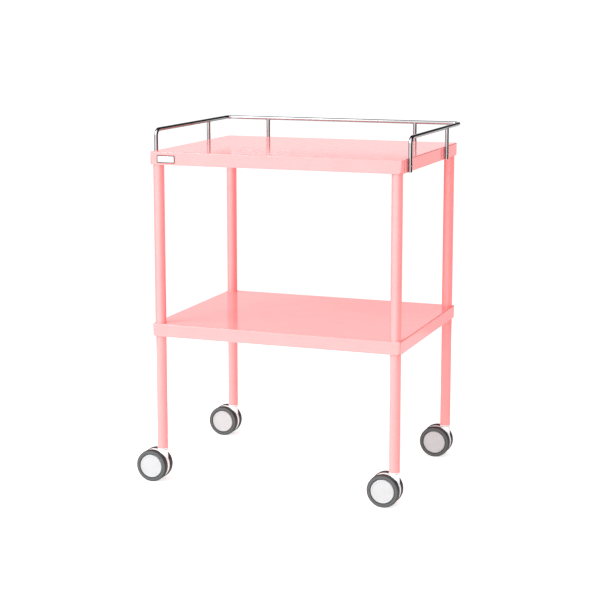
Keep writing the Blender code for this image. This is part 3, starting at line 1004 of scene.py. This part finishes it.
def cap_bm():
    """The disc over the hub: a raised rim and a slightly dished face with a shallow middle ring."""
    crown = CAP_BACK + size_mm("hub_cap_front_left_outer").y
    corners = [
        (0, CAP_BACK, 0),
        (HUB_RADIUS, CAP_BACK, 0.3),
        (HUB_RADIUS, crown - 0.9, 0.6),
        (HUB_RADIUS - 1.3, crown, 0.6),
        (HUB_RADIUS - 2.8, crown, 0.4),
        (HUB_RADIUS - 3.3, crown - 0.6, 0.3),
        (HUB_RADIUS - 6.0, crown - 0.55, 2.0),
        (8.0, crown - 0.25, 4.0),
        (0, crown - 0.2, 0),
    ]
    return turned(softened(corners), LARGE_ROUND)


def axle_bm():
    half = AXLE_LENGTH / 2
    corners = [(0, -half, 0), (AXLE_RADIUS, -half, 0.6), (AXLE_RADIUS, half, 0.6), (0, half, 0)]
    return turned(softened(corners), SMALL_ROUND)


def web_bm():
    """The moulded disc between the wheels, cut off flat below, with rounded edges."""
    start, sweep, steps = math.radians(-45), math.radians(270), 72
    flank = WEB_RADIUS - 6
    corners = [
        (flank, -WEB_HALF, 0),
        (WEB_RADIUS, -WEB_HALF, WEB_EDGE_ROUND),
        (WEB_RADIUS, WEB_HALF, WEB_EDGE_ROUND),
        (flank, WEB_HALF, 0),
    ]
    rings = []
    for reach, y in softened(corners, steps=5):
        ring = []
        for i in range(steps + 1):
            angle = start + sweep * i / steps
            ring.append((reach * math.cos(angle) - CASTER_TRAIL, y, reach * math.sin(angle) + WHEEL_RADIUS))
        rings.append(ring)
    bm = bmesh.new()
    loft(bm, rings)
    return bm


def neck_bm():
    """The post of the housing that the stem turns in."""
    corners = [
        (0, NECK_BOTTOM, 0),
        (NECK_RADIUS, NECK_BOTTOM, 0.4),
        (NECK_RADIUS, NECK_TOP, 0.7),
        (0, NECK_TOP, 0),
    ]
    return turned(softened(corners), MIDDLE_ROUND)


def wheel_room():
    """Room for both wheels and for the axle through the web, as a tool."""
    clear = WHEEL_RADIUS + TREAD_ROOM
    bore = AXLE_RADIUS + HOLE_CLEARANCE
    far = 30
    profile = [(0, -far), (clear, -far), (clear, -WEB_HALF), (bore, -WEB_HALF)]
    profile += [(bore, WEB_HALF), (clear, WEB_HALF), (clear, far), (0, far)]
    lay_down = Matrix.Translation((-CASTER_TRAIL, 0, WHEEL_RADIUS)) @ Matrix.Rotation(math.pi / 2, 4, "X")
    return moved(turned(profile, LARGE_ROUND), lay_down)


def housing_mesh():
    """The housing about the stem's axis: web and neck in one, with room cut for the wheels and the stem."""
    past_neck = NECK_TOP + 5
    block = link_object("housing", mesh_of("housing", web_bm()))
    combine(block, "UNION", neck_bm())
    cut(block, wheel_room())
    cut(block, cylinder(STEM_RADIUS + HOLE_CLEARANCE, STEM_ROOM_BOTTOM, past_neck, HOLE_ROUND))
    data = block.data
    bpy.data.objects.remove(block)
    return data


def build_casters():
    """Four casters and their eight wheels; the pieces of a kind share one mesh."""
    socket = mesh_of("socket", socket_bm())
    stem = mesh_of("stem", stem_bm())
    housing = housing_mesh()
    axle = mesh_of("axle", axle_bm())
    tyre = mesh_of("tyre", tyre_bm())
    hub = mesh_of("hub", hub_bm())
    cap = mesh_of("cap", cap_bm())

    def add(name, data, finish, body, slot, node, place):
        add_mesh_object(name, data, finish, body, [node], place)

    for corner, outward in CORNERS.items():
        axis = leg_axis(corner)
        body = "caster_" + corner
        add("socket_" + corner, socket, WHITE, "frame", "white_plastic", "caster_socket_" + corner, axis)
        add("stem_" + corner, stem, STEEL, "frame", "steel", "caster_stem_" + corner, axis)
        add("caster_body_" + corner, housing, WHITE, body, "white_plastic", "caster_housing_" + corner, axis)
        add("axle_pin_" + corner, axle, STEEL, body, "steel", "axle_" + corner, wheel_frame(corner, 1))
        for which, way in (("outer", outward), ("inner", -outward)):
            at = wheel_frame(corner, way)
            end = "%s_%s" % (corner, which)
            wheel = "wheel_" + end
            add("tread_" + end, tyre, RUBBER, wheel, "grey_tyre", "tyre_" + end, at)
            add("wheel_hub_" + end, hub, WHITE, wheel, "white_plastic", "hub_" + end, at)
            add("wheel_cap_" + end, cap, CAP, wheel, "cap_plastic", "hub_cap_" + end, at)


# ---- studio --------------------------------------------------------------------------------------
FLOOR_RADIUS = 1.8
FLOOR_GLOW = 0.62


def build_floor():
    """A round white light table: its glow keeps the shadows faint."""
    bm = bmesh.new()
    bm.faces.new([bm.verts.new(point) for point in circle(FLOOR_RADIUS, 0, LARGE_ROUND)])
    data = bpy.data.meshes.new("floor")
    bm.to_mesh(data)
    bm.free()
    floor = link_object("floor", data)
    paper = Finish("floor_paper", (0.55, 0.55, 0.55), 0.9)
    paper.shader.inputs["Specular IOR Level"].default_value = 0.1
    paper.shader.inputs["Emission Color"].default_value = (1, 1, 1, 1)
    paper.shader.inputs["Emission Strength"].default_value = FLOOR_GLOW
    data.materials.append(paper.material)


def soft_light(name, place, aim, size, power):
    """A rectangular lamp in metres and watts, which the camera doesn't see."""
    data = bpy.data.lights.new(name, "AREA")
    data.shape = "RECTANGLE"
    data.size, data.size_y = size
    data.energy = power
    made = link_object(name, data)
    made.location = place
    made.rotation_euler = (Vector(aim) - Vector(place)).to_track_quat("-Z", "Y").to_euler()
    made.visible_camera = False
    return made


class World:
    """The studio round the object, as a world shader in which brightness follows direction."""

    def __init__(self):
        self.world = bpy.data.worlds.new("studio")
        bpy.context.scene.world = self.world
        self.world.use_nodes = True
        self.tree = self.world.node_tree
        self.direction = self.tree.nodes.new("ShaderNodeTexCoord").outputs["Generated"]

    def link(self, output, target):
        self.tree.links.new(output, target)

    def toward(self, axis, start, end):
        """0 to 1 as the cosine of the direction's angle from the axis goes from start to end."""
        dot = self.tree.nodes.new("ShaderNodeVectorMath")
        dot.operation = "DOT_PRODUCT"
        self.link(self.direction, dot.inputs[0])
        dot.inputs[1].default_value = Vector(axis).normalized()
        ramp = self.tree.nodes.new("ShaderNodeMapRange")
        ramp.interpolation_type = "SMOOTHSTEP"
        ramp.inputs["From Min"].default_value = start
        ramp.inputs["From Max"].default_value = end
        self.link(dot.outputs["Value"], ramp.inputs["Value"])
        return ramp.outputs["Result"]

    def mix(self, factor, first, second):
        """First where the factor is 0, second where it is 1; each is a number or a socket."""
        made = self.tree.nodes.new("ShaderNodeMix")
        self.link(factor, made.inputs["Factor"])
        for value, target in ((first, made.inputs["A"]), (second, made.inputs["B"])):
            if isinstance(value, (int, float)):
                target.default_value = value
            else:
                self.link(value, target)
        return made.outputs["Result"]

    def patch(self, around, axis, edge, core, level):
        """Lays a round patch over what is around it, which fades in from edge to core, both as cosines."""
        return self.mix(self.toward(axis, edge, core), around, level)


def build_world():
    """White to the camera, a dark studio with pale patches to glossy rays, and soft light to all others."""
    down = (0, 0, -1)
    softbox = (-0.15, -0.85, 0.5)
    back_panel = (-0.343, 0.927, 0.15)
    behind_low = (0.35, 0.93, -0.12)
    front_left = (-0.55, -0.8, 0.25)
    dark, dim, backdrop = 0.04, 0.82, 1.1
    world = World()
    glossy = world.patch(dark, softbox, edge=0.42, core=0.68, level=2.0)
    glossy = world.patch(glossy, back_panel, edge=0.958, core=0.9816, level=0.9)
    # The ground shows only low down behind.
    ground = world.patch(glossy, down, edge=0.0, core=0.06, level=0.85)
    glossy = world.patch(glossy, behind_low, edge=0.82, core=0.95, level=ground)
    soft = world.patch(dim, front_left, edge=0.3, core=0.9, level=2.15)
    soft = world.patch(soft, down, edge=-0.05, core=0.1, level=1.4)
    path = world.tree.nodes.new("ShaderNodeLightPath")
    by_gloss = world.mix(path.outputs["Is Glossy Ray"], soft, glossy)
    seen = world.mix(path.outputs["Is Camera Ray"], by_gloss, backdrop)
    background = world.tree.nodes["Background"]
    background.inputs["Color"].default_value = (1, 1, 1, 1)
    world.link(seen, background.inputs["Strength"])


def build_lights():
    build_world()
    soft_light("key", place=(-2.2, -2.4, 2.7), aim=(0, 0, 0.5), size=(2.0, 2.0), power=115)
    fill = soft_light("fill", place=(0.7, -3.6, 0.7), aim=(0, 0, 0.4), size=(1.8, 1.2), power=50)
    fill.visible_glossy = False


def build_camera():
    """The camera stands to the right of the front, about 0.3 m above the guard rail."""
    right, forward, height = 1.285, 3.522, 1.128
    yaw, pitch = math.radians(20.33), math.radians(9.71)
    data = bpy.data.cameras.new("camera")
    data.lens = 95.9
    data.sensor_width = 36.0
    data.shift_y = -0.05
    data.clip_start, data.clip_end = 0.1, 300.0
    camera = link_object("camera", data)
    camera.location = (TRAY_MIDDLE.x * MM + right, TRAY_MIDDLE.y * MM - forward, height)
    camera.rotation_euler = (math.radians(90) - pitch, 0, yaw)
    bpy.context.scene.camera = camera


def main():
    build_trays()
    build_legs()
    build_leg_welds()
    build_guard_rail()
    build_screws()
    build_name_plate()
    build_casters()
    build_floor()
    build_lights()
    build_camera()
    bpy.context.scene.view_settings.view_transform = "Standard"
    bpy.context.view_layer.update()


main()
